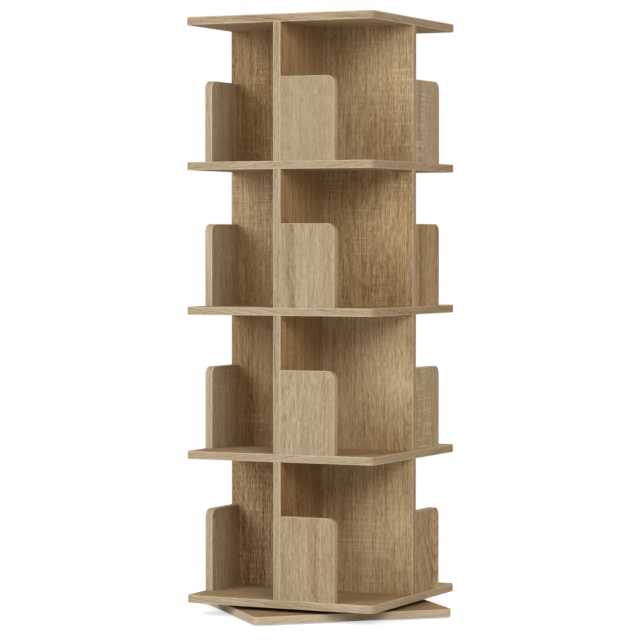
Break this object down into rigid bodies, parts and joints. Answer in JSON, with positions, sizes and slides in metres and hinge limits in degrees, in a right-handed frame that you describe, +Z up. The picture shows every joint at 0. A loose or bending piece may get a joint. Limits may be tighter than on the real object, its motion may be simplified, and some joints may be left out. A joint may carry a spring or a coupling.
{
  "type": "revolving bookcase",
  "caption": "Tall square bookcase that turns on a flat base board: shelves carried by pinwheel uprights, with half-height bookends along each side.",
  "frame": {"origin": "middle of the footprint on the floor, on the axis that the tower turns on", "axes": "+Z up along the turning axis; X and Y along the tower's edges at rest, front towards -Y"},
  "size_m": [0.6544, 0.6544, 1.3725],
  "materials": {
    "oak_board": "matt oak-print laminate",
    "dowel_wood": "raw beech",
    "cap_plastic": "matt, oak-coloured",
    "ring_aluminium": "extruded, satin",
    "ball_steel": "polished",
    "bolt_steel": "zinc-plated",
    "cam_zinc": "die-cast zinc, dull",
    "cage_nylon": "natural nylon",
    "pad_rubber": "matt"
  },
  "bodies": {
    "base": {"base_board": "oak_board", "base_pads": "pad_rubber", "base_ring": "ring_aluminium", "base_ring_screws": "bolt_steel"},
    "ball_race": {"ball_cage": "cage_nylon", "bearing_balls": "ball_steel"},
    "tower": {"tower_ring": "ring_aluminium", "tower_ring_screws": "bolt_steel", "bottom_shelf": "oak_board", "shelf_2": "oak_board", "shelf_3": "oak_board", "shelf_4": "oak_board", "top_board": "oak_board", "tier_1_upright_front": "oak_board", "tier_1_upright_right": "oak_board", "tier_1_upright_back": "oak_board", "tier_1_upright_left": "oak_board", "tier_2_upright_front": "oak_board", "tier_2_upright_right": "oak_board", "tier_2_upright_back": "oak_board", "tier_2_upright_left": "oak_board", "tier_3_upright_front": "oak_board", "tier_3_upright_right": "oak_board", "tier_3_upright_back": "oak_board", "tier_3_upright_left": "oak_board", "tier_4_upright_front": "oak_board", "tier_4_upright_right": "oak_board", "tier_4_upright_back": "oak_board", "tier_4_upright_left": "oak_board", "tier_1_bookend_front": "oak_board", "tier_1_bookend_right": "oak_board", "tier_1_bookend_back": "oak_board", "tier_1_bookend_left": "oak_board", "tier_2_bookend_front": "oak_board", "tier_2_bookend_right": "oak_board", "tier_2_bookend_back": "oak_board", "tier_2_bookend_left": "oak_board", "tier_3_bookend_front": "oak_board", "tier_3_bookend_right": "oak_board", "tier_3_bookend_back": "oak_board", "tier_3_bookend_left": "oak_board", "tier_4_bookend_front": "oak_board", "tier_4_bookend_right": "oak_board", "tier_4_bookend_back": "oak_board", "tier_4_bookend_left": "oak_board", "through_dowels": "dowel_wood", "end_dowels": "dowel_wood", "bookend_dowels": "dowel_wood", "double_cam_bolts": "bolt_steel", "single_cam_bolts": "bolt_steel", "bookend_screws": "bolt_steel", "cam_locks": "cam_zinc", "cam_caps": "cap_plastic"}
  },
  "joints": [
    {"name": "tower_spin", "type": "hinge", "parent": "base", "child": "tower", "pos_m": [0, 0, 0.02575], "axis": [0, 0, 1], "continuous": true},
    {"name": "ball_race_spin", "type": "hinge", "parent": "base", "child": "ball_race", "pos_m": [0, 0, 0.02575], "axis": [0, 0, 1], "continuous": true}
  ],
  "couplings": [
    {"joint": "ball_race_spin", "follows": "tower_spin", "ratio": 0.5}
  ]
}
